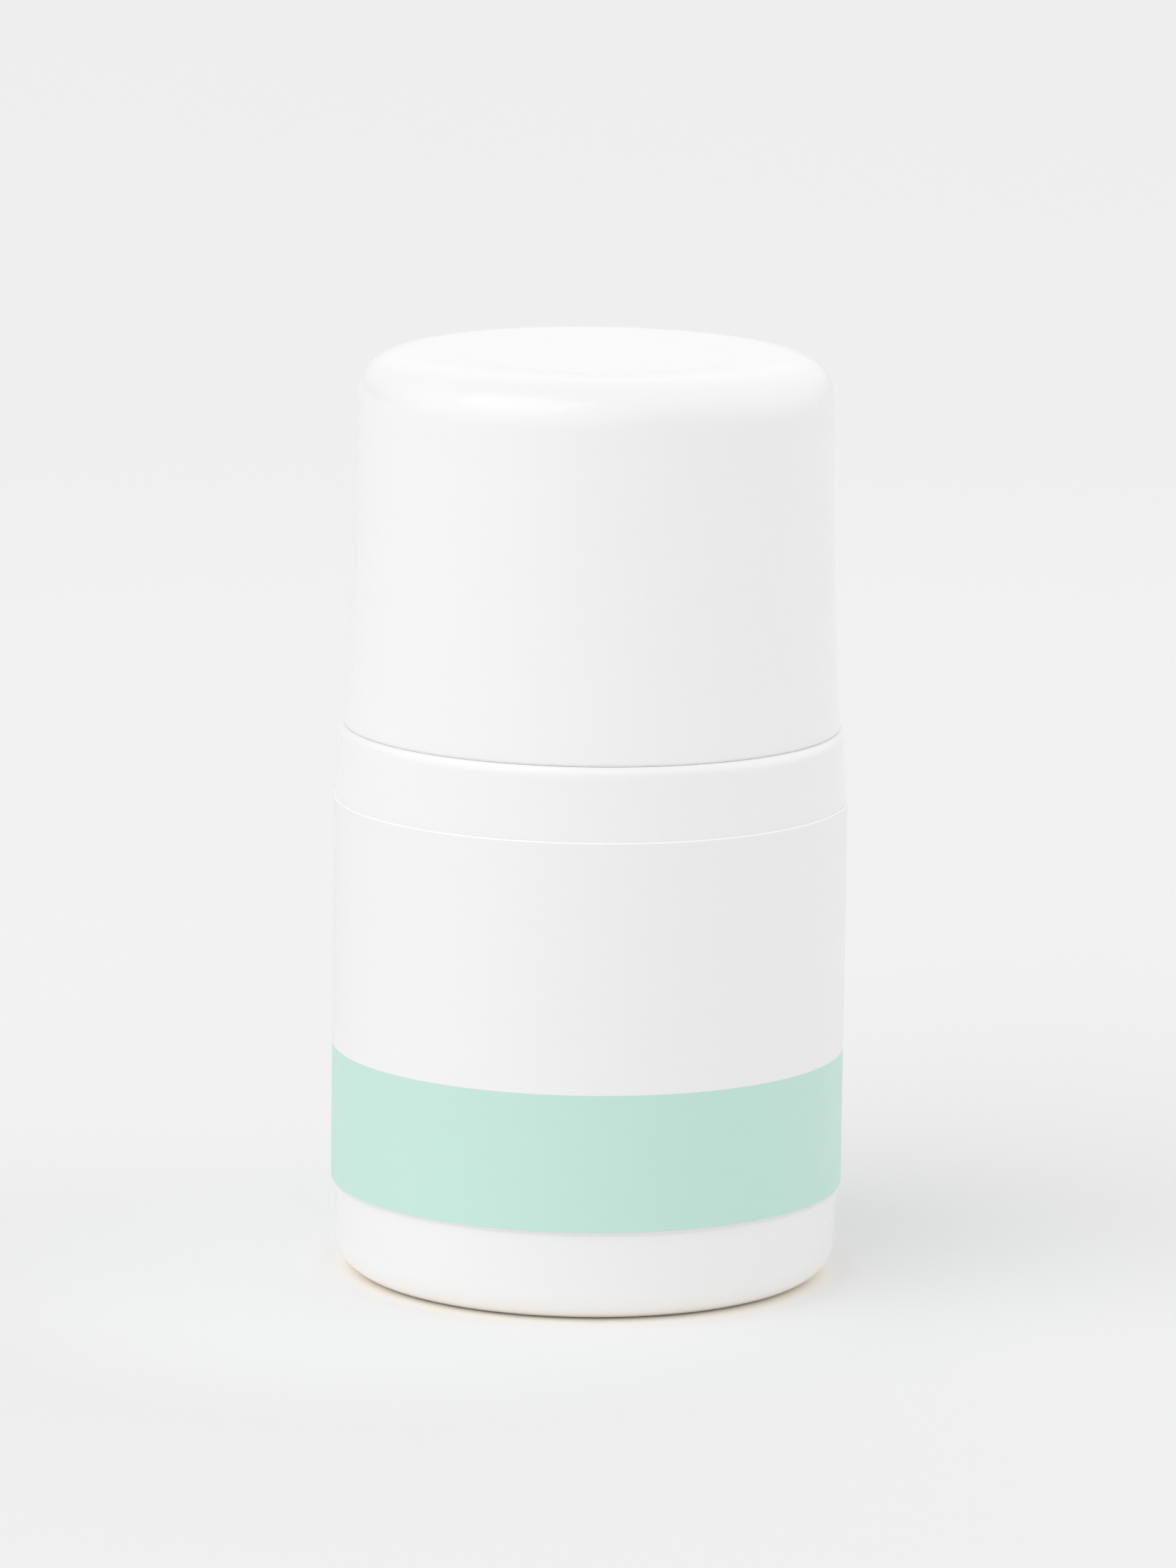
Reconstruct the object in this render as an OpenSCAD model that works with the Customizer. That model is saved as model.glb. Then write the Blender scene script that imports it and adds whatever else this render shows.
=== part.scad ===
// Sponge jar for nail polish remover: a moulded jar with a wrap label and a foam core, closed by a
// tall two-piece screw cap. Millimetres, +Z up, origin at the middle of the ring it stands on.
// Every piece is round about the Z axis. The screw threads are left out, but their room is kept.

/* [Jar body] */
// Outside diameter of the straight panel that carries the label
body_d = 49.8; // [44:0.1:70]
// How far the bare base, just above its rounded foot, is set in from the panel
base_step = 0.4; // [0.3:0.05:1]
// How far the collar is drawn in from the panel where its edge starts to round
collar_step = 0.28; // [0.1:0.02:0.6]
// Height of the flat shoulder that the cap closes on
shoulder_z = 54.2; // [45:0.1:90]
// Height of the bare collar between the panel and the shoulder
collar_h = 7.05; // [4:0.05:12]
// Radius of the collar's rounded edge
collar_edge_r = 2.5; // [1.5:0.1:4]
// Angle that the collar's edge turns through before the flat shoulder cuts it off
collar_edge_a = 30; // [20:1:60]
// Thickness of the side wall and of the shoulder
body_wall = 1.6; // [1.2:0.1:2.2]
// Thickness of the floor at its middle
floor_t = 1.8; // [1.2:0.1:3]
// Height of the push-up under the floor
push_up = 1.2; // [0.6:0.1:2]
// Radius of the rounded foot
foot_r = 3.5; // [2.5:0.1:5]
// Width of the flat ring that the jar stands on
foot_ring_w = 2; // [1:0.1:4]
// Radius inside the jar, between its wall and its floor
cavity_r = 3; // [2.5:0.1:5]
// Radius of the corner under the shoulder, inside the jar
shoulder_in_r = 1.5; // [0.8:0.1:2.5]

/* [Neck] */
// Height of the neck above the shoulder
neck_h = 11.8; // [10:0.1:16]
// Wall of the neck
neck_wall = 1.7; // [1.4:0.1:2.5]
// Radius of the edges of the rim
rim_r = 0.5; // [0.2:0.1:0.6]
// How far the ring at the root of the neck stands out
neck_ring_w = 1.1; // [0.6:0.1:1.2]
// Height of the ring at the root of the neck
neck_ring_h = 1.0; // [0.6:0.1:1.2]

/* [Label] */
// Thickness of the label film
label_t = 0.1; // [0.05:0.01:0.2]
// Height of the label's lower edge above the floor
label_z = 9.2; // [6:0.1:15]
// Height of the coloured band along the label's lower edge
band_h = 13.35; // [4:0.05:24]
// Width of the strip where the label overlaps itself at the back
label_lap = 4; // [2:0.5:8]

/* [Cap shell] */
// Gap between the shoulder and the cap's lower edge
cap_gap = 0.02; // [0.02:0.01:0.5]
// How far the shoulder's edge stands out past the cap's lower edge
cap_ledge = 0.08; // [0:0.02:0.4]
// How far the cap is drawn in where its top edge starts to roll over
cap_taper = 1.08; // [0.6:0.02:2]
// How far the cap's side is drawn in from a straight line at half height
cap_bow = 0.26; // [0:0.02:0.3]
// Height of the cap
cap_h = 36.3; // [30:0.05:60]
// Wall of the cap shell
cap_wall = 1.4; // [1.1:0.1:1.5]
// Width of the rolled top edge, seen from above
roll_w = 5.55; // [3:0.05:7]
// Height of the rolled top edge
roll_h = 4.8; // [3:0.1:6]
// Fullness of the rolled edge, where 2 is an ellipse
roll_e = 2.5; // [2:0.1:3]
// Width of the soft slope from the cap's crest into the dish in its top
dish_lead = 8; // [4:0.5:12]
// Depth of the dish
dish_depth = 0.5; // [0.3:0.05:1]
// Thickness of the top under the dish
top_t = 1.6; // [1.2:0.1:2.5]
// Number of ribs in the shell that the inner cap is pushed up against
stop_count = 8; // [4:1:12]
// Thickness of each stop rib
stop_t = 1.2; // [0.8:0.1:2]
// How far each stop rib reaches in from the wall
stop_w = 3.5; // [2:0.1:5]
// Number of drive keys in the shell
key_count = 4; // [2:1:8]

/* [Inner cap] */
// Wall of the skirt that carries the cap's thread
skirt_wall = 1.2; // [1:0.05:1.3]
// Thickness of the inner cap's top disc
disc_t = 1.5; // [1.2:0.1:2.5]
// Thickness of the flange round the skirt's lower edge
flange_t = 1.0; // [0.8:0.1:1.5]
// Number of ribs round the skirt
rib_count = 24; // [16:8:32]
// Width of each rib round the skirt
rib_w = 1.2; // [0.8:0.1:1.8]
// Height of the flange above the shell's lower edge
flange_lift = 1.45; // [1.2:0.05:2]

/* [Seal liner] */
// Thickness of the sealing disc
liner_t = 1.2; // [0.8:0.1:2]
// How far the bead that holds the liner stands in from the skirt
liner_bead = 0.5; // [0.3:0.05:0.6]

/* [Sponge] */
// Diameter of the finger hole
hole_d = 13; // [10:0.5:18]
// Foam left under the finger hole
hole_floor = 11; // [6:0.5:25]
// Radius of the lip round the finger hole
lip_r = 2.5; // [1:0.1:4]
// How far the middle of the foam stands up into the neck, above the shoulder's underside
foam_rise = 4.8; // [3:0.1:8]
// Height of the domed edge of the foam that shows in the mouth
crown_h = 2.4; // [1:0.1:2.9]

/* [Fits] */
// Room between the skirt and the narrowest place in the shell's side
skirt_room = 0.05; // [0:0.01:0.3]
// Depth of the thread on the neck, and of the thread in the skirt
thread_depth = 1.0; // [0.8:0.1:1.2]
// Clearance between a thread's crest and the wall it faces
thread_gap = 0.3; // [0.2:0.05:0.5]
// Clearance round the liner
liner_gap = 0.2; // [0.1:0.05:0.4]
// Clearance between the liner and the bead under its edge
bead_gap = 0.1; // [0.05:0.05:0.2]
// Clearance between the sponge and the jar
foam_gap = 0.3; // [0.2:0.05:1]
// Clearance between the inner cap and the shell
shell_fit = 0.05; // [0.02:0.01:0.1]
// How far the shell's snap bead reaches under the flange
snap = 0.35; // [0.2:0.05:0.5]
// Height of the snap bead
snap_h = 0.6; // [0.4:0.1:1]

/* [Hidden] */
$fn = 160;

// Steps in a small round, in the cap's rolled edge and along its side
round_steps = 8;
roll_steps = 24;
side_steps = 12;
dish_steps = 6;

// Height over which the jar's wall steps out to the label panel, and the panel's margin past the label
panel_lead = 0.3;
panel_margin = 0.1;
// How much narrower the bare base is than the panel at their step
panel_step = 0.24;
// Share of the push-up's height that it keeps out to its edge
push_share = 0.75;
// Bevel of small edges, and of the cap's crisp lower edge
edge_r = 0.3;
cap_edge = 0.06;

body_rad = body_d / 2;
base_rad = body_rad - base_step;
cavity_rad = base_rad - body_wall;
foot_rad = base_rad - foot_r;
cavity_z = push_up + floor_t;
shoulder_in_z = shoulder_z - body_wall;
edge_mid_rad = body_rad - collar_step - collar_edge_r;
shoulder_rad = edge_mid_rad + collar_edge_r * cos(collar_edge_a);
panel_z0 = label_z - panel_margin;
panel_z1 = shoulder_z - collar_h;
label_top = panel_z1 - panel_margin;
lap_angle = 180 * label_lap / (PI * body_rad);

// The cap's lower edge stays just inside the shoulder's, and the inner cap and the neck fit inside it
cap_lower_rad = shoulder_rad - cap_ledge;
cap_upper_rad = cap_lower_rad - cap_taper;
skirt_out = cap_upper_rad - cap_wall - skirt_room;
skirt_rad = skirt_out - skirt_wall;
neck_rad = skirt_rad - thread_depth - thread_gap;
mouth_rad = neck_rad - neck_wall;
rim_z = shoulder_z + neck_h;
disc_z = rim_z + liner_t;
stop_z = disc_z + disc_t;
cap_z = shoulder_z + cap_gap;
cap_top = cap_z + cap_h;
flange_z = cap_z + flange_lift;
roll_z = cap_top - roll_h;
dish_z = cap_top - dish_depth;
ceiling_z = dish_z - top_t;
crest_rad = cap_upper_rad - roll_w;
// The slope into the dish is two equal arcs, and this is their radius and angle
dish_r = (dish_lead * dish_lead + dish_depth * dish_depth) / (4 * dish_depth);
dish_a = 2 * atan(dish_depth / dish_lead);
rib_angle = 180 * rib_w / (PI * skirt_out);
fit_angle = 180 * shell_fit / (PI * skirt_out);
pitch_angle = 360 / rib_count;

// Points on an arc of an ellipse, from angle a0 to angle a1
function arc(cx, cy, rx, ry, a0, a1, n) =
    [for (i = [0 : n]) let (a = a0 + (a1 - a0) * i / n) [cx + rx * cos(a), cy + ry * sin(a)]];

// Outside radius of the cap's side at height z: a straight taper drawn in by a shallow parabola
function cap_rad(z) =
    let (t = (z - cap_z) / (roll_z - cap_z))
    cap_lower_rad - t * cap_taper - 4 * cap_bow * t * (1 - t);

// Inside radius of the cap shell at height z
function shell_rad(z) = cap_rad(z) - cap_wall;

// Points round the cap's rolled edge, inset from its outside, up to height z1 over the crest
function roll(inset, z1, n) =
    let (z0 = roll_z - inset, p = 2 / roll_e)
    [for (i = [1 : n]) let (a = 90 * i / n)
        [crest_rad + (roll_w - inset) * pow(cos(a), p), z0 + (z1 - z0) * pow(sin(a), p)]];

// The same points in turn from last to first
function back(points) = [for (i = [len(points) - 1 : -1 : 0]) points[i]];

// Points up the side between two heights, at a distance inside the cap's outer face
function side(z0, z1, inset, n) =
    [for (i = [0 : n]) let (z = z0 + (z1 - z0) * i / n) [cap_rad(z) - inset, z]];

// A solid of revolution that stands on the sector from angle a0 to a0 + a
module sector(a0, a) {
    rotate([0, 0, a0]) rotate_extrude(angle = a) children();
}

// The jar: foot, label panel, collar, shoulder, neck and rim outside; mouth and cavity inside
module jar_body() {
    color("whitesmoke") rotate_extrude() polygon(concat(
        [[0, push_up], [foot_rad - foot_ring_w - push_up, push_up * push_share]],
        [[foot_rad - foot_ring_w, 0]],
        arc(foot_rad, foot_r, foot_r, foot_r, -90, 0, 2 * round_steps),
        [[body_rad - panel_step, panel_z0 - panel_lead], [body_rad, panel_z0], [body_rad, panel_z1]],
        arc(edge_mid_rad, shoulder_z - collar_edge_r * sin(collar_edge_a),
            collar_edge_r, collar_edge_r, 0, collar_edge_a, round_steps),
        [[neck_rad + neck_ring_w, shoulder_z], [neck_rad + neck_ring_w, shoulder_z + neck_ring_h - edge_r]],
        [[neck_rad + neck_ring_w - edge_r, shoulder_z + neck_ring_h], [neck_rad, shoulder_z + neck_ring_h]],
        arc(neck_rad - rim_r, rim_z - rim_r, rim_r, rim_r, 0, 90, round_steps),
        arc(mouth_rad + rim_r, rim_z - rim_r, rim_r, rim_r, 90, 180, round_steps),
        [[mouth_rad, shoulder_in_z + edge_r], [mouth_rad + edge_r, shoulder_in_z]],
        arc(cavity_rad - shoulder_in_r, shoulder_in_z - shoulder_in_r,
            shoulder_in_r, shoulder_in_r, 90, 0, round_steps),
        arc(cavity_rad - cavity_r, cavity_z + cavity_r, cavity_r, cavity_r, 0, -90, 2 * round_steps),
        [[0, cavity_z]]
    ));
}

// A ring of label film between two heights
module film(z0, z1) {
    rotate_extrude() translate([body_rad, z0]) square([label_t, z1 - z0]);
}

// The label: one film, white with a coloured band, and the lap of its end at the back
module wrap_label() {
    color("white") film(label_z + band_h, label_top);
    color([0.72, 0.89, 0.80]) film(label_z, label_z + band_h);
    color("white") sector(90 - lap_angle / 2, lap_angle)
        translate([body_rad, label_z]) square([1.5 * label_t, label_top - label_z]);
}

// The foam core: it fills the cavity, domes up into the neck and has a blind finger hole
module sponge() {
    foam_rad = cavity_rad - foam_gap;
    dome_rad = mouth_rad - foam_gap;
    foam_z = shoulder_in_z - foam_gap;
    foam_top = shoulder_in_z + foam_rise;
    hole_rad = hole_d / 2;
    crown_w = dome_rad - hole_rad - lip_r;
    color([0.80, 0.92, 0.86]) rotate_extrude() polygon(concat(
        [[0, cavity_z]],
        arc(foam_rad - cavity_r, cavity_z + cavity_r, cavity_r, cavity_r, -90, 0, round_steps),
        arc(foam_rad - shoulder_in_r, foam_z - shoulder_in_r,
            shoulder_in_r, shoulder_in_r, 0, 90, round_steps),
        [[dome_rad, foam_z]],
        arc(dome_rad - crown_w, foam_top - crown_h, crown_w, crown_h, 0, 90, 2 * round_steps),
        arc(hole_rad + lip_r, foam_top - lip_r, lip_r, lip_r, 90, 180, round_steps),
        arc(0, cavity_z + hole_floor + hole_rad, hole_rad, hole_rad, 0, -90, round_steps)
    ));
}

// The outer shell: flared side, rolled edge and dish outside, snap bead, keys and stop ribs inside
module cap_shell() {
    color("white") {
        rotate_extrude() polygon(concat(
            [[cap_rad(cap_z) - cap_edge, cap_z]],
            side(cap_z + cap_edge, roll_z, 0, side_steps),
            roll(0, cap_top, roll_steps),
            arc(crest_rad, cap_top - dish_r, dish_r, dish_r, 91, 90 + dish_a, dish_steps),
            arc(crest_rad - dish_lead, dish_z + dish_r, dish_r, dish_r, dish_a - 91, -90, dish_steps),
            [[0, dish_z], [0, ceiling_z]],
            back(roll(cap_wall, ceiling_z, round_steps)),
            side(roll_z - cap_wall, flange_z, cap_wall, side_steps),
            [[shell_rad(flange_z) - snap, flange_z], [shell_rad(flange_z) - snap, flange_z - snap_h / 2]],
            [[shell_rad(flange_z - snap_h), flange_z - snap_h], [shell_rad(cap_z), cap_z]]
        ));
        for (i = [0 : stop_count - 1]) stop_rib(i * 360 / stop_count);
        for (i = [0 : key_count - 1]) drive_key(pitch_angle * round(i * rib_count / key_count));
    }
}

// A rib from the shell's ceiling down to the inner cap, standing in from the wall
module stop_rib(a) {
    rotate([0, 0, a]) translate([0, stop_t / 2, 0]) rotate([90, 0, 0]) linear_extrude(stop_t)
        polygon(concat(
            [[shell_rad(stop_z) - stop_w, stop_z]],
            side(stop_z, roll_z - cap_wall / 2, cap_wall / 2, side_steps),
            roll(cap_wall / 2, ceiling_z + top_t / 2, round_steps),
            [[shell_rad(stop_z) - stop_w, ceiling_z + top_t / 2]]
        ));
}

// A key on the shell's wall that fills the space between two ribs of the inner cap
module drive_key(a) {
    key_angle = pitch_angle - rib_angle - 2 * fit_angle;
    sector(a - key_angle / 2, key_angle) polygon(concat(
        [[skirt_out + shell_fit, flange_z + flange_t + edge_r]],
        side(flange_z + flange_t + edge_r, stop_z, cap_wall / 2, round_steps),
        [[skirt_out + shell_fit, stop_z]]
    ));
}

// The inner cap: top disc, threaded skirt with its bead, flange and ribs
module cap_inner() {
    rib_inset = cap_wall + shell_fit;
    bead_z = rim_z - bead_gap;
    color("white") {
        rotate_extrude() polygon(concat(
            [[0, disc_z], [skirt_rad, disc_z]],
            [[skirt_rad, bead_z], [skirt_rad - liner_bead, bead_z - edge_r]],
            [[skirt_rad - liner_bead, bead_z - 2 * edge_r], [skirt_rad, bead_z - 3 * edge_r]],
            [[skirt_rad, flange_z + edge_r], [skirt_rad + edge_r, flange_z]],
            side(flange_z, flange_z + flange_t, rib_inset, 1),
            [[skirt_out, flange_z + flange_t], [skirt_out, stop_z - edge_r]],
            [[skirt_out - edge_r, stop_z], [0, stop_z]]
        ));
        for (i = [0 : rib_count - 1])
            sector((i + 0.5) * pitch_angle - rib_angle / 2, rib_angle) polygon(concat(
                [[skirt_out - edge_r, flange_z + flange_t / 2]],
                side(flange_z + flange_t / 2, stop_z - 2 * edge_r, rib_inset, round_steps),
                [[skirt_out - edge_r, stop_z - 2 * edge_r]]
            ));
    }
}

// The sealing disc, which lies on the rim and is held in the inner cap by its bead
module cap_liner() {
    color("gainsboro") translate([0, 0, rim_z]) cylinder(h = liner_t, r = skirt_rad - liner_gap);
}

jar_body();
wrap_label();
sponge();
cap_shell();
cap_inner();
cap_liner();
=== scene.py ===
"""Looks of a sponge jar for nail polish remover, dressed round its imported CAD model.

Lengths are in metres, in the frame of the CAD model: +Z up, -Y towards the photograph's camera.
"""

import math

import bpy
import numpy as np
from mathutils import Matrix, Vector, noise

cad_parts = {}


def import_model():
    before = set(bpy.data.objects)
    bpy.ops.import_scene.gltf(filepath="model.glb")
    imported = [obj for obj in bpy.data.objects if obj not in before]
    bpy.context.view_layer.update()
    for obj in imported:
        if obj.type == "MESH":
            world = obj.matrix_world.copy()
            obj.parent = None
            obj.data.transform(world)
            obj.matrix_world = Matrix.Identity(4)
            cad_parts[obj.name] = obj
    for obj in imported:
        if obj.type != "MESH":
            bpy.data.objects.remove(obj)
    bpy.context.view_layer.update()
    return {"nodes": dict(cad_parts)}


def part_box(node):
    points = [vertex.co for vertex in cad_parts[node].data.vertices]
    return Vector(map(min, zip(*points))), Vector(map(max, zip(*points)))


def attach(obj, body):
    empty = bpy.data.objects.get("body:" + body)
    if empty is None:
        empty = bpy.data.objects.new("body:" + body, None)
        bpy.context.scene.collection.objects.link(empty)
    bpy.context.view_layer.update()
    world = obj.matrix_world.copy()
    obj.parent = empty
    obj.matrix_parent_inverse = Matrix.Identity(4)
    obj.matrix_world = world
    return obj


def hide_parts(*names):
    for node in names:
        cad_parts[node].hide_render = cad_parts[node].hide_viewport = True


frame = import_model()

MM = 0.001

# The photograph's height in pixels, and the camera that its contours fit: the sensor's longer side in
# millimetres, the focal length in pixels, its place, its tilts, and how far it sees
PHOTO_H = 2212
SENSOR = 36.0
FOCAL_PX = 12978
CAMERA_AT = Vector((-0.3, -880.5, 211.3)) * MM
CAMERA_PITCH = math.radians(10.50)
CAMERA_ROLL = math.radians(0.78)
CAMERA_REACH = 100

# How much the materials bend light
REFRACTION = 1.48

# The studio's soft light: azimuth and elevation of each source in degrees, and its strength.
# Azimuth runs from the camera to the right, and a source fades with the angle from its middle, as the
# cosine to the power SKY_FALL. The camera sees BACKDROP instead.
SKY = ((0, 20, 0.72), (-50, 20, 1.01), (-95, 20, 0.59), (95, 20, 1.48), (180, 20, 1.06), (0, 90, 0.43))
SKY_FALL = 3.0
BACKDROP = 0.87

# The softbox: its azimuth and elevation in degrees, its distance, half its width and half its
# height as angles in degrees seen from the object, and its power in watts
KEY_FROM = (-48, 50)
KEY_AWAY = 6.0
KEY_HALF_W = 25
KEY_HALF_H = 19
KEY_POWER = 54

# The floor: half its width, its tone, and the warm light painted on it under the foot, which fades
# from WARM_IN inside the foot's radius to WARM_OUT outside it
FLOOR_HALF = 30.0
FLOOR_TONE = 0.807
PAINTED_WARM_LIGHT = (0.99, 0.94, 0.86, 1)
WARM_IN = 3 * MM
WARM_OUT = 1 * MM

# The floor's two painted pools of light, beside the foot and behind the object: the middle of each,
# the distances from there at which it starts and ends to fade, and what it adds to the tone
PAINTED_LIGHT_POOLS = ((Vector((-18, -12, 0)) * MM, 12 * MM, 54 * MM, 0.074),
         (Vector((60, 230, 0)) * MM, 120 * MM, 360 * MM, 0.014))

# The screw thread: its starts, the sizes of one ridge, and the room from the neck's wall to the skirt's
THREAD_STARTS = 2
THREAD_PITCH = 4.0 * MM
THREAD_LEAD = THREAD_STARTS * THREAD_PITCH
THREAD_DEPTH = 1.0 * MM
THREAD_ROOT_W = 1.7 * MM
THREAD_CREST_W = 0.7 * MM
THREAD_ROOM = 1.3 * MM

# The ridge's rounded crest: its width at its flat and at its two shoulders, as shares of
# THREAD_CREST_W, and the shoulders' depth as a share of THREAD_DEPTH
CREST_FLAT = 0.6
CREST_SHOULDER = 1.25
SHOULDER_DEPTH = 0.80

# The ridge's course: the angle of one step, the angle over which an end fades, how deep it is sunk
# in its wall, and the shares of its root's and its crest's width that an end keeps
THREAD_STEP = math.radians(2.5)
THREAD_FADE = math.radians(14)
THREAD_SUNK = 0.06 * MM
END_ROOT = 0.4
END_CREST = 0.3

# Where the neck's ridge starts and ends, down from the rim, where the skirt's ridge starts, up from
# the skirt's lower edge, how high it climbs, and how far it runs below the neck's
NECK_THREAD_LOW = 9.4 * MM
NECK_THREAD_HIGH = 2.6 * MM
SKIRT_THREAD_LOW = 1.3 * MM
SKIRT_THREAD_H = 5.8 * MM
THREAD_UNDER = 1.32 * MM

# Moulded plastic: the whites of its three pieces, the radius that softens its edges in the shading,
# and the widths of its flow marks, of the handling marks in its gloss and of its orange peel
WHITE_JAR = (0.850, 0.850, 0.847)
WHITE_CAP = (0.855, 0.855, 0.855)
WHITE_INNER = (0.82, 0.82, 0.81)
SOFT_EDGE = 0.4 * MM
FLOW_MARK = 14 * MM
HANDLING_MARK = 5 * MM
PEEL_MARK = 2.2 * MM

# The least and the most roughness that handling leaves, as shares of the plastic's own, the faint
# tint of plastic and film, from darkest to lightest, and how far light scatters in plastic
HANDLED = (0.9, 1.15)
FAINT_TINT = (0.992, 1.0)
GLOW_REACH = 1.2 * MM
GLOW_COLORS = (1.0, 0.72, 0.5)

# Painted light: a paler colour on thin edges, standing in for light that would come through them and
# lifting the shade in the seam and at the foot. It reaches this far below, above and inward of the
# cap's lower edge, on the jar and on the cap, and this far up the jar's foot. Its borders at the cap's
# lower edge are this soft in height and inward
PAINTED_EDGE_LIGHT = (0.99, 0.97, 0.94, 1)
LIT_JAR = (0.05 * MM, 0.1 * MM, 0.3 * MM)
LIT_CAP = (0.1 * MM, 0.08 * MM, 0.5 * MM)
LIT_FOOT = 4 * MM
LIT_BORDER = 0.02 * MM
LIT_BORDER_IN = 0.1 * MM

# The painted highlight on the collar's rounded edge under the cap: where it starts and is full, down
# from the cap's lower edge, and how far inward it is full and ends
PAINTED_COLLAR_HIGHLIGHT = (0.90, 0.90, 0.90, 1)
COLLAR_START = 1.0 * MM
COLLAR_FULL = 0.2 * MM
COLLAR_FULL_IN = 1.2 * MM
COLLAR_END_IN = 1.5 * MM

# How far the shading leans up in the cap's dish, which is softer in the photograph than in the CAD
# model. The lean is full DISH_IN inside the crest, gone DISH_OUT outside it, full down to
# DISH_FULL below the top and gone at DISH_END
DISH_LEAN = 0.85
DISH_IN = 0.8 * MM
DISH_OUT = 0.4 * MM
DISH_FULL = 1.6 * MM
DISH_END = 2.0 * MM

# The label's printed band, measured up from the label's lower edge, and its soft border
BAND_H = 13.35 * MM
BAND_BORDER = 0.04 * MM
BAND_COLOR = (0.532, 0.759, 0.674, 1)

# The label's film: its white, the highlight painted on its cut edge, which starts and is full this far
# below the top, the printer's rows, how much flatter than wide they are, the marks in its gloss, and its
# ripples
LABEL_WHITE = (0.842, 0.842, 0.842)
LABEL_CUT_HIGHLIGHT = (0.98, 0.98, 0.98, 1)
CUT_START = 0.14 * MM
CUT_FULL = 0.10 * MM
ROW_MARK = 4 * MM
ROW_FLATTER = 5
FILM_MARK = 3 * MM
FILM_GLOSS = (0.33, 0.42)
RIPPLE_W = 6 * MM
RIPPLE_DEPTH = 0.006 * MM

# The liner: its cells' width and depth, and the depth and soft border of the ring pressed in it
LINER_COLOR = (0.80, 0.80, 0.79)
LINER_CELL = 0.5 * MM
LINER_GRAIN = 0.03 * MM
RING_DEPTH = 0.15 * MM
RING_BORDER = 0.3 * MM

# The foam: the width and depth of its cells, the share of a cell over which it slopes to its full
# depth, the depth and width of the foam's swells, the size of a voxel, and its grain in the shading
FOAM_COLOR = (0.62, 0.83, 0.74)
FOAM_CELL = 1.1 * MM
FOAM_PORE = 0.38 * MM
FOAM_SIDE = 0.45
FOAM_SWELL = 0.12 * MM
FOAM_SWELL_W = 7 * MM
FOAM_VOXEL = 0.42 * MM
FOAM_GRAIN_W = 0.45 * MM
FOAM_GRAIN_DEPTH = 0.12 * MM

# How far from an edge of the CAD model its vertices still count when a radius is measured there
LIP_REACH = 0.2 * MM
CREST_REACH = 0.005 * MM
RIM_REACH = 2 * MM
NECK_REACH = 3 * MM


def radii(node, low, high):
    """Smallest and largest radius of a CAD node's vertices between two heights."""
    co = np.array([v.co for v in frame["nodes"][node].data.vertices])
    co = co[(co[:, 2] >= low) & (co[:, 2] <= high)]
    r = np.hypot(co[:, 0], co[:, 1])
    return r.min(), r.max()


def cap_lip():
    """Height and outer radius of the cap shell's lower edge."""
    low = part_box("cap_shell")[0].z
    return low, radii("cap_shell", low, low + LIP_REACH)[1]


def placed(name, data):
    """A new object in the scene."""
    obj = bpy.data.objects.new(name, data)
    bpy.context.scene.collection.objects.link(obj)
    return obj


def node_adder(tree):
    """A function that adds a shader node to the tree.

    It takes the node's kind, its settings and its inputs, by name or as an underscore and a number.
    """
    def add(kind, settings=(), **inputs):
        node = tree.nodes.new("ShaderNode" + kind)
        for key, value in dict(settings).items():
            setattr(node, key, value)
        for key, value in inputs.items():
            socket = node.inputs[int(key[1:])] if key[0] == "_" else node.inputs[key.replace("_", " ")]
            if isinstance(value, bpy.types.NodeSocket):
                tree.links.new(value, socket)
            else:
                socket.default_value = value
        return node

    return add


def shader_of(mat):
    """A material's Principled shader."""
    return mat.node_tree.nodes["Principled BSDF"]


def new_material(name, color, roughness):
    """A material, a function that adds nodes to it, and one that links a value to its shader."""
    mat = bpy.data.materials.new(name)
    mat.use_nodes = True
    shader = shader_of(mat)
    shader.inputs["Base Color"].default_value = (*color, 1)
    shader.inputs["Roughness"].default_value = roughness
    shader.inputs["IOR"].default_value = REFRACTION

    def link(value, socket_name):
        mat.node_tree.links.new(value, shader.inputs[socket_name])

    return mat, node_adder(mat.node_tree), link


def scatter(mat, weight, radius, scale):
    """Light scatters inside the material: its weight, its reach in each colour, and their scale."""
    shader = shader_of(mat)
    shader.inputs["Subsurface Weight"].default_value = weight
    shader.inputs["Subsurface Radius"].default_value = radius
    shader.inputs["Subsurface Scale"].default_value = scale


def fine_noise(add, at, size, detail=3.0):
    """Noise whose features are about size metres wide."""
    return add("TexNoise", Vector=at, Scale=1 / size, Detail=detail, Roughness=0.55).outputs["Fac"]


def ranged(add, value, low, high, start=0.3, end=0.7):
    """value from start..end, mapped to low..high."""
    node = add("MapRange", Value=value, From_Min=start, From_Max=end, To_Min=low, To_Max=high)
    return node.outputs["Result"]


def eased(add, value, low, high, start, end):
    """value from start..end, mapped to low..high with soft ends."""
    node = add("MapRange", {"interpolation_type": "SMOOTHSTEP"}, Value=value, From_Min=start,
               From_Max=end, To_Min=low, To_Max=high)
    return node.outputs["Result"]


def both(add, one, other):
    """The product of two masks."""
    return add("Math", {"operation": "MULTIPLY"}, _0=one, _1=other).outputs["Value"]


def mixed(add, mask, color, other):
    """The first colour where the mask is 0, and the other where it is 1."""
    return add("Mix", {"data_type": "RGBA"}, _0=mask, _6=color, _7=other).outputs[2]


def shaded(add, color, value, low, high):
    """A colour made lighter or darker by noise, from low to high times itself."""
    scale = ranged(add, value, low, high)
    return add("VectorMath", {"operation": "SCALE"}, _0=color, Scale=scale).outputs["Vector"]


def stretched(add, at, factors):
    """A point with each of its coordinates times a factor."""
    return add("VectorMath", {"operation": "MULTIPLY"}, _0=at, _1=factors).outputs["Vector"]


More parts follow.
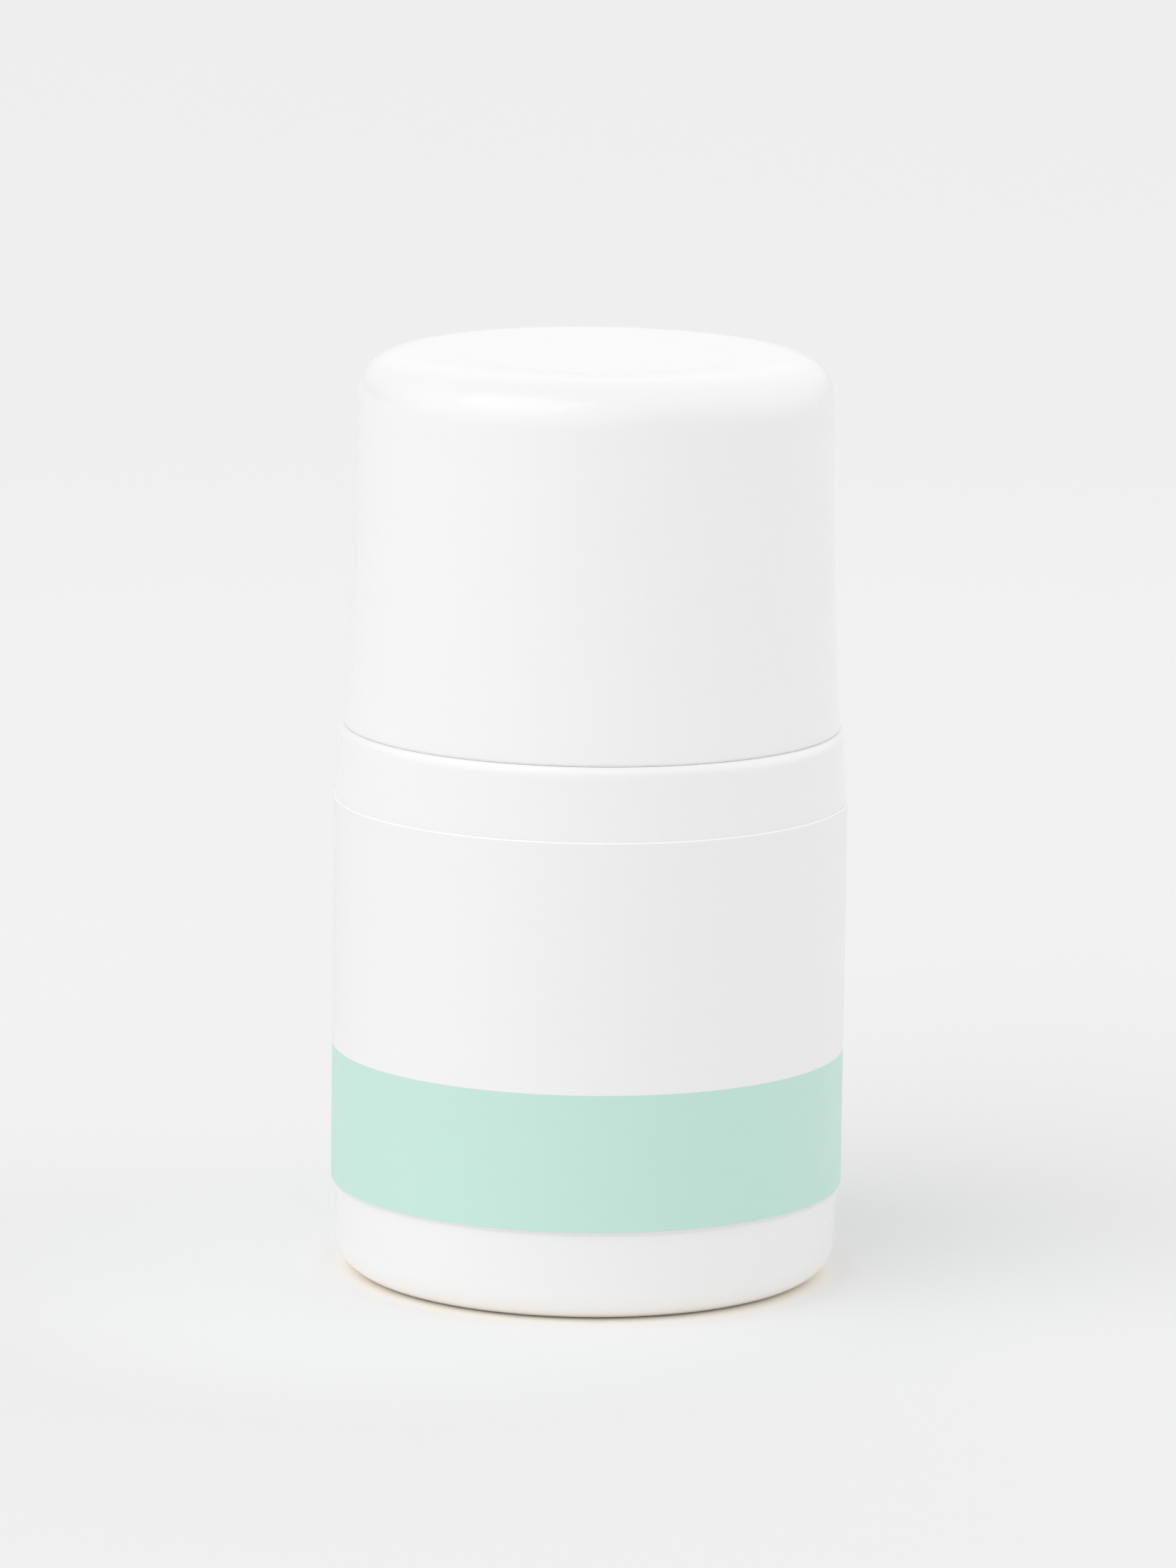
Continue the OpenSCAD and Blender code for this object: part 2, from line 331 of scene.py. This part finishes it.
def height_of(add, at):
    """A point's height."""
    return add("SeparateXYZ", Vector=at).outputs["Z"]


def radius_of(add, at):
    """A point's distance from the object's axis."""
    flat = stretched(add, at, (1, 1, 0))
    return add("VectorMath", {"operation": "LENGTH"}, _0=flat).outputs["Value"]


def thin_edge(add, at, below, above, inward):
    """Mask of the light painted round the cap's lower edge: 1 as far below, above and inward as given,
    and 0 elsewhere.
    """
    lip_z, lip_rad = cap_lip()
    low, high, inner = lip_z - below, lip_z + above, lip_rad - inward
    height, radius = height_of(add, at), radius_of(add, at)
    over = ranged(add, height, 0.0, 1.0, low - LIT_BORDER, low + LIT_BORDER)
    under = ranged(add, height, 1.0, 0.0, high - LIT_BORDER, high + LIT_BORDER)
    outside = ranged(add, radius, 0.0, 1.0, inner - LIT_BORDER_IN, inner + LIT_BORDER_IN)
    return both(add, both(add, over, under), outside)


def collar_highlight_mask(add, at):
    """Mask of the painted highlight: 1 on the collar's rounded edge just under the cap, fading down it,
    and 0 elsewhere.
    """
    lip_z, lip_rad = cap_lip()
    height, radius = height_of(add, at), radius_of(add, at)
    near = eased(add, height, 0.0, 1.0, lip_z - COLLAR_START, lip_z - COLLAR_FULL)
    outside = ranged(add, radius, 0.0, 1.0, lip_rad - COLLAR_END_IN, lip_rad - COLLAR_FULL_IN)
    return both(add, near, outside)


def dish_lean(add, at):
    """How far the shading leans up inside the cap's crest."""
    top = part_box("cap_shell")[1].z
    crest = radii("cap_shell", top - CREST_REACH, top)[1]
    inside = eased(add, radius_of(add, at), DISH_LEAN, 0.0, crest - DISH_IN, crest + DISH_OUT)
    on_top = ranged(add, height_of(add, at), 0.0, 1.0, top - DISH_END, top - DISH_FULL)
    return both(add, inside, on_top)


def moulded_plastic(name, color, roughness, peel, glow, thin=(), foot=0.0, collar=False, lean=None):
    """White moulded polypropylene: faint orange peel, faint flow tint, handling marks in its gloss.

    The whole range of roughness stays on one side of 0.274, where the denoiser's guides change.
    Light is painted into the colour: it is paler at the thin edge that thin gives to thin_edge and on
    the foot up to the height foot, and holds a painted highlight on the collar's edge. lean is the
    function that gives how far the shading leans up.
    """
    mat, add, link = new_material(name, color, roughness)
    at = add("TexCoord").outputs["Object"]
    tint = shaded(add, color, fine_noise(add, at, FLOW_MARK), *FAINT_TINT)
    # Painted highlight on the collar's rounded edge
    if collar:
        tint = mixed(add, collar_highlight_mask(add, at), tint, PAINTED_COLLAR_HIGHLIGHT)
    # Painted light at the cap's lower edge, against the shade in the seam
    if thin:
        tint = mixed(add, thin_edge(add, at, *thin), tint, PAINTED_EDGE_LIGHT)
    # Painted light on the foot, against the shade where it meets the floor
    if foot:
        near_floor = eased(add, height_of(add, at), 1.0, 0.0, 0.0, foot)
        tint = mixed(add, near_floor, tint, PAINTED_EDGE_LIGHT)
    link(tint, "Base Color")
    rub = fine_noise(add, at, HANDLING_MARK, detail=6)
    link(ranged(add, rub, roughness * HANDLED[0], roughness * HANDLED[1]), "Roughness")
    normal = add("Bevel", {"samples": 4}, Radius=SOFT_EDGE).outputs["Normal"]
    if lean:
        up = add("Mix", {"data_type": "VECTOR"}, _0=lean(add, at), _4=normal, _5=(0, 0, 1)).outputs[1]
        normal = add("VectorMath", {"operation": "NORMALIZE"}, _0=up).outputs["Vector"]
    orange_peel = fine_noise(add, at, PEEL_MARK, detail=1)
    bump = add("Bump", Height=orange_peel, Strength=1.0, Distance=peel, Normal=normal)
    link(bump.outputs["Normal"], "Normal")
    scatter(mat, weight=glow, radius=GLOW_COLORS, scale=GLOW_REACH)
    return mat


def label_film():
    """Satin white film with a printed band at its lower edge and the printer's faint rows."""
    low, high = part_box("wrap_label")
    mat, add, link = new_material("printed_film", LABEL_WHITE, roughness=0.36)
    at = add("TexCoord").outputs["Object"]
    height = height_of(add, at)
    band_top = low.z + BAND_H
    in_band = ranged(add, height, 1.0, 0.0, band_top - BAND_BORDER, band_top + BAND_BORDER)
    printed = mixed(add, in_band, (*LABEL_WHITE, 1), BAND_COLOR)
    # A highlight painted along the film's cut edge at its top
    at_cut_highlight = ranged(add, height, 0.0, 1.0, high.z - CUT_START, high.z - CUT_FULL)
    with_cut_highlight = mixed(add, at_cut_highlight, printed, LABEL_CUT_HIGHLIGHT)
    rows = fine_noise(add, stretched(add, at, (1, 1, ROW_FLATTER)), ROW_MARK, detail=3)
    link(shaded(add, with_cut_highlight, rows, *FAINT_TINT), "Base Color")
    link(ranged(add, fine_noise(add, at, FILM_MARK, detail=5), *FILM_GLOSS), "Roughness")
    ripple = fine_noise(add, at, RIPPLE_W, detail=1)
    bump = add("Bump", Height=ripple, Strength=1.0, Distance=RIPPLE_DEPTH)
    link(bump.outputs["Normal"], "Normal")
    return mat


def liner_foam():
    """Fine white foam with the ring that the jar's rim has pressed into it."""
    rim_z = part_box("jar_body")[1].z
    rim_inner, rim_outer = radii("jar_body", rim_z - RIM_REACH, rim_z + RIM_REACH)
    mat, add, link = new_material("liner_foam", LINER_COLOR, roughness=0.6)
    at = add("TexCoord").outputs["Object"]
    radius = radius_of(add, at)
    past_inner = ranged(add, radius, 0.0, 1.0, rim_inner - RING_BORDER, rim_inner + RING_BORDER)
    within_outer = ranged(add, radius, 1.0, 0.0, rim_outer - RING_BORDER, rim_outer + RING_BORDER)
    ring = both(add, past_inner, within_outer)
    cells = fine_noise(add, at, LINER_CELL, detail=2)
    pressed = add("Bump", {"invert": True}, Height=ring, Strength=1.0, Distance=RING_DEPTH)
    bump = add("Bump", Height=cells, Strength=0.6, Distance=LINER_GRAIN, Normal=pressed.outputs["Normal"])
    link(bump.outputs["Normal"], "Normal")
    link(shaded(add, LINER_COLOR, cells, 0.94, 1.0), "Base Color")
    return mat


def foam_rubber():
    """Pale mint open-cell foam, damp with remover."""
    mat, add, link = new_material("open_cell_foam", FOAM_COLOR, roughness=0.55)
    at = add("TexCoord").outputs["Object"]
    cells = add("TexVoronoi", {"feature": "F1"}, Vector=at, Scale=1 / FOAM_GRAIN_W).outputs["Distance"]
    link(shaded(add, FOAM_COLOR, cells, 0.80, 1.04), "Base Color")
    bump = add("Bump", {"invert": True}, Height=cells, Strength=0.8, Distance=FOAM_GRAIN_DEPTH)
    link(bump.outputs["Normal"], "Normal")
    scatter(mat, weight=0.35, radius=(1.0, 1.0, 0.9), scale=1.0 * MM)
    return mat


def paint(node, mat):
    """The CAD node keeps its mesh and gets this material."""
    obj = frame["nodes"][node]
    obj.data.materials.clear()
    obj.data.materials.append(mat)


def new_piece(name, verts, faces, mat, body):
    """A smooth mesh piece that rides on a body and takes the given material."""
    mesh = bpy.data.meshes.new(name)
    mesh.from_pydata(verts, [], faces)
    mesh.validate()
    mesh.shade_smooth()
    mesh.materials.append(mat)
    obj = placed(name, mesh)
    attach(obj, body)


def ridge_outline(full):
    """The ridge's outline, as depths and heights: whole where full is 1, faded where it is 0."""
    depth = THREAD_SUNK + (THREAD_DEPTH - THREAD_SUNK) * full
    root = THREAD_ROOT_W / 2 * (END_ROOT + (1 - END_ROOT) * full)
    crest = THREAD_CREST_W / 2 * (END_CREST + (1 - END_CREST) * full)
    flat = (depth, crest * CREST_FLAT)
    shoulder = (depth * SHOULDER_DEPTH, crest * CREST_SHOULDER)
    upper = [flat, shoulder, (-THREAD_SUNK, root)]
    return [(d, -h) for d, h in reversed(upper)] + upper


def thread_ridge(wall, outward, low, high, phase):
    """One ridge of the thread on a wall's radius: its vertices and faces.

    It climbs from low to high along the right-hand helix, and its ends fade into the wall.
    """
    turn = 2 * math.pi * (high - low) / THREAD_LEAD
    steps = int(turn / THREAD_STEP)
    rows = []
    for i in range(steps + 1):
        climb = turn * i / steps
        end = min(climb, turn - climb) / THREAD_FADE
        full = math.sqrt(max(0.0, 1 - (1 - min(end, 1)) ** 2))
        across, along = math.cos(climb + phase), math.sin(climb + phase)
        z = low + THREAD_LEAD * climb / (2 * math.pi)
        rows.append([((wall + outward * d) * across, (wall + outward * d) * along, z + h)
                     for d, h in ridge_outline(full)])
    n = len(rows[0])
    verts = [point for row in rows for point in row]
    faces = [(i * n + j, i * n + (j + 1) % n, (i + 1) * n + (j + 1) % n, (i + 1) * n + j)
             for i in range(steps) for j in range(n)]
    faces += [tuple(range(n))[::-1], tuple(steps * n + j for j in range(n))]
    if outward < 0:
        faces = [face[::-1] for face in faces]
    return verts, faces


def thread(name, wall, outward, low, high, phase, mat, body):
    """All the starts of one thread as one piece."""
    verts, faces = [], []
    for start in range(THREAD_STARTS):
        start_phase = phase + start * 2 * math.pi / THREAD_STARTS
        more_verts, more_faces = thread_ridge(wall, outward, low, high, start_phase)
        faces += [tuple(k + len(verts) for k in face) for face in more_faces]
        verts += more_verts
    new_piece(name, verts, faces, mat, body)


def threads(jar_mat, cap_mat):
    """The thread on the neck, and the one in the skirt that hooks under it."""
    rim_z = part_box("jar_body")[1].z
    neck_rad = radii("jar_body", rim_z - NECK_REACH, rim_z)[1]
    neck_low, neck_high = rim_z - NECK_THREAD_LOW, rim_z - NECK_THREAD_HIGH
    thread("neck_thread", neck_rad, 1, neck_low, neck_high, 0.0, jar_mat, "jar")
    skirt_rad = neck_rad + THREAD_ROOM
    skirt_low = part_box("cap_inner")[0].z + SKIRT_THREAD_LOW
    skirt_high = skirt_low + SKIRT_THREAD_H
    climbed = skirt_low - (neck_low - THREAD_UNDER)
    phase = 2 * math.pi * climbed / THREAD_LEAD
    thread("cap_thread", skirt_rad, -1, skirt_low, skirt_high, phase, cap_mat, "cap")


def sponge(mat):
    """The foam core: the CAD solid remeshed, with its surface eaten by open cells."""
    obj = placed("foam_core", frame["nodes"]["sponge"].data.copy())
    voxels = obj.modifiers.new("voxels", "REMESH")
    voxels.mode = "VOXEL"
    voxels.voxel_size = FOAM_VOXEL * 1
    graph = bpy.context.evaluated_depsgraph_get()
    mesh = bpy.data.meshes.new_from_object(obj.evaluated_get(graph))
    obj.modifiers.clear()
    obj.data = mesh
    mesh.update()
    normals = [v.normal.copy() for v in mesh.vertices]
    for v, normal in zip(mesh.vertices, normals):
        near = noise.voronoi(v.co / FOAM_CELL)[0]
        pore = min(1.0, (near[1] - near[0]) / FOAM_SIDE)
        swell = 0.5 + 0.5 * noise.noise(v.co / FOAM_SWELL_W)
        v.co -= normal * (FOAM_PORE * pore + FOAM_SWELL * swell)
    mesh.shade_smooth()
    mesh.materials.clear()
    mesh.materials.append(mat)
    obj.name = mesh.name = "foam_core"
    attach(obj, "jar")
    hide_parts("sponge")


def floor():
    """A pale floor that runs out past every view and keeps the object's shadow.

    Light is painted on it: a little lighter in two pools of light, and warm under the foot, as if light
    came through the plastic.
    """
    mat, add, link = new_material("studio_floor", (FLOOR_TONE,) * 3, roughness=0.9)
    shader_of(mat).inputs["Specular IOR Level"].default_value = 0.0
    at = add("TexCoord").outputs["Object"]
    tone = FLOOR_TONE
    # Painted pools of light, added to the floor's tone
    for middle, near, far, lift in PAINTED_LIGHT_POOLS:
        off = add("VectorMath", {"operation": "DISTANCE"}, _0=at, _1=middle).outputs["Value"]
        pool = eased(add, off, lift, 0.0, near, far)
        tone = add("Math", {"operation": "ADD"}, _0=pool, _1=tone).outputs["Value"]
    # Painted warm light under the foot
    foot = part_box("jar_body")[1].x
    warm = eased(add, radius_of(add, at), 1.0, 0.0, foot - WARM_IN, foot + WARM_OUT)
    link(mixed(add, warm, tone, PAINTED_WARM_LIGHT), "Base Color")
    mesh = bpy.data.meshes.new("floor")
    corners = [(x * FLOOR_HALF, y * FLOOR_HALF, 0) for x, y in ((-1, -1), (1, -1), (1, 1), (-1, 1))]
    mesh.from_pydata(corners, [], [(0, 1, 2, 3)])
    mesh.materials.append(mat)
    obj = placed("floor", mesh)


def towards(azimuth, elevation):
    """Unit vector to a place in the studio: azimuth from the camera to the right, both in degrees."""
    a, e = math.radians(azimuth), math.radians(elevation)
    return Vector((math.sin(a) * math.cos(e), -math.cos(a) * math.cos(e), math.sin(e)))


def world():
    """Soft white light from the sources in SKY, and a plain pale backdrop for the camera."""
    studio = bpy.data.worlds.new("studio")
    bpy.context.scene.world = studio
    studio.use_nodes = True
    tree = studio.node_tree
    add = node_adder(tree)
    ray = add("TexCoord").outputs["Generated"]
    total = 0.0
    for azimuth, elevation, strength in SKY:
        dot = add("VectorMath", {"operation": "DOT_PRODUCT"}, _0=ray, _1=towards(azimuth, elevation))
        facing = add("Math", {"operation": "MAXIMUM"}, _0=dot.outputs["Value"], _1=0.0)
        lobe = add("Math", {"operation": "POWER"}, _0=facing.outputs[0], _1=SKY_FALL)
        added = add("Math", {"operation": "MULTIPLY_ADD"}, _0=lobe.outputs[0], _1=strength, _2=total)
        total = added.outputs[0]
    light = tree.nodes["Background"]
    light.inputs["Color"].default_value = (1, 1, 1, 1)
    tree.links.new(total, light.inputs["Strength"])
    seen = add("Background", Color=(BACKDROP, BACKDROP, BACKDROP, 1))
    by_camera = add("LightPath").outputs["Is Camera Ray"]
    mix = add("MixShader", _0=by_camera, _1=light.outputs[0], _2=seen.outputs[0])
    tree.links.new(mix.outputs[0], tree.nodes["World Output"].inputs["Surface"])


def key_light():
    """The softbox that the highlight on the cap's shoulder and the floor shadow point to."""
    lamp = bpy.data.lights.new("key", "AREA")
    lamp.shape = "RECTANGLE"
    lamp.size = 2 * KEY_AWAY * math.tan(math.radians(KEY_HALF_W))
    lamp.size_y = 2 * KEY_AWAY * math.tan(math.radians(KEY_HALF_H))
    lamp.energy = KEY_POWER
    obj = placed("key", lamp)
    out = towards(*KEY_FROM)
    obj.location = out * KEY_AWAY
    obj.rotation_mode = "QUATERNION"
    obj.rotation_quaternion = out.to_track_quat("Z", "Y")
    obj.visible_camera = False


def camera():
    """The photograph's camera: far off, tilted down a little and leaning a little to the right."""
    data = bpy.data.cameras.new("camera")
    data.sensor_width = SENSOR
    data.lens = FOCAL_PX / PHOTO_H * SENSOR
    data.clip_end = CAMERA_REACH
    obj = placed("camera", data)
    ahead = Vector((0, math.cos(CAMERA_PITCH), -math.sin(CAMERA_PITCH)))
    level_up = Vector((0, math.sin(CAMERA_PITCH), math.cos(CAMERA_PITCH)))
    level_right = Vector((1, 0, 0))
    right = math.cos(CAMERA_ROLL) * level_right + math.sin(CAMERA_ROLL) * level_up
    up = -math.sin(CAMERA_ROLL) * level_right + math.cos(CAMERA_ROLL) * level_up
    obj.matrix_world = Matrix.Translation(CAMERA_AT) @ Matrix((right, up, -ahead)).transposed().to_4x4()
    bpy.context.scene.camera = obj


camera()
world()
key_light()
floor()

jar_plastic = moulded_plastic("jar_plastic", WHITE_JAR, roughness=0.14, peel=0.001 * MM, glow=0.1,
                              thin=LIT_JAR, foot=LIT_FOOT, collar=True)
cap_plastic = moulded_plastic("cap_plastic", WHITE_CAP, roughness=0.06, peel=0.0005 * MM, glow=0.1,
                              thin=LIT_CAP, lean=dish_lean)
inner_plastic = moulded_plastic("inner_plastic", WHITE_INNER, roughness=0.36, peel=0.003 * MM, glow=0.3)
paint("jar_body", jar_plastic)
paint("cap_shell", cap_plastic)
paint("cap_inner", inner_plastic)
paint("wrap_label", label_film())
paint("cap_liner", liner_foam())
threads(jar_plastic, inner_plastic)
sponge(foam_rubber())

bpy.context.scene.view_settings.view_transform = "Standard"
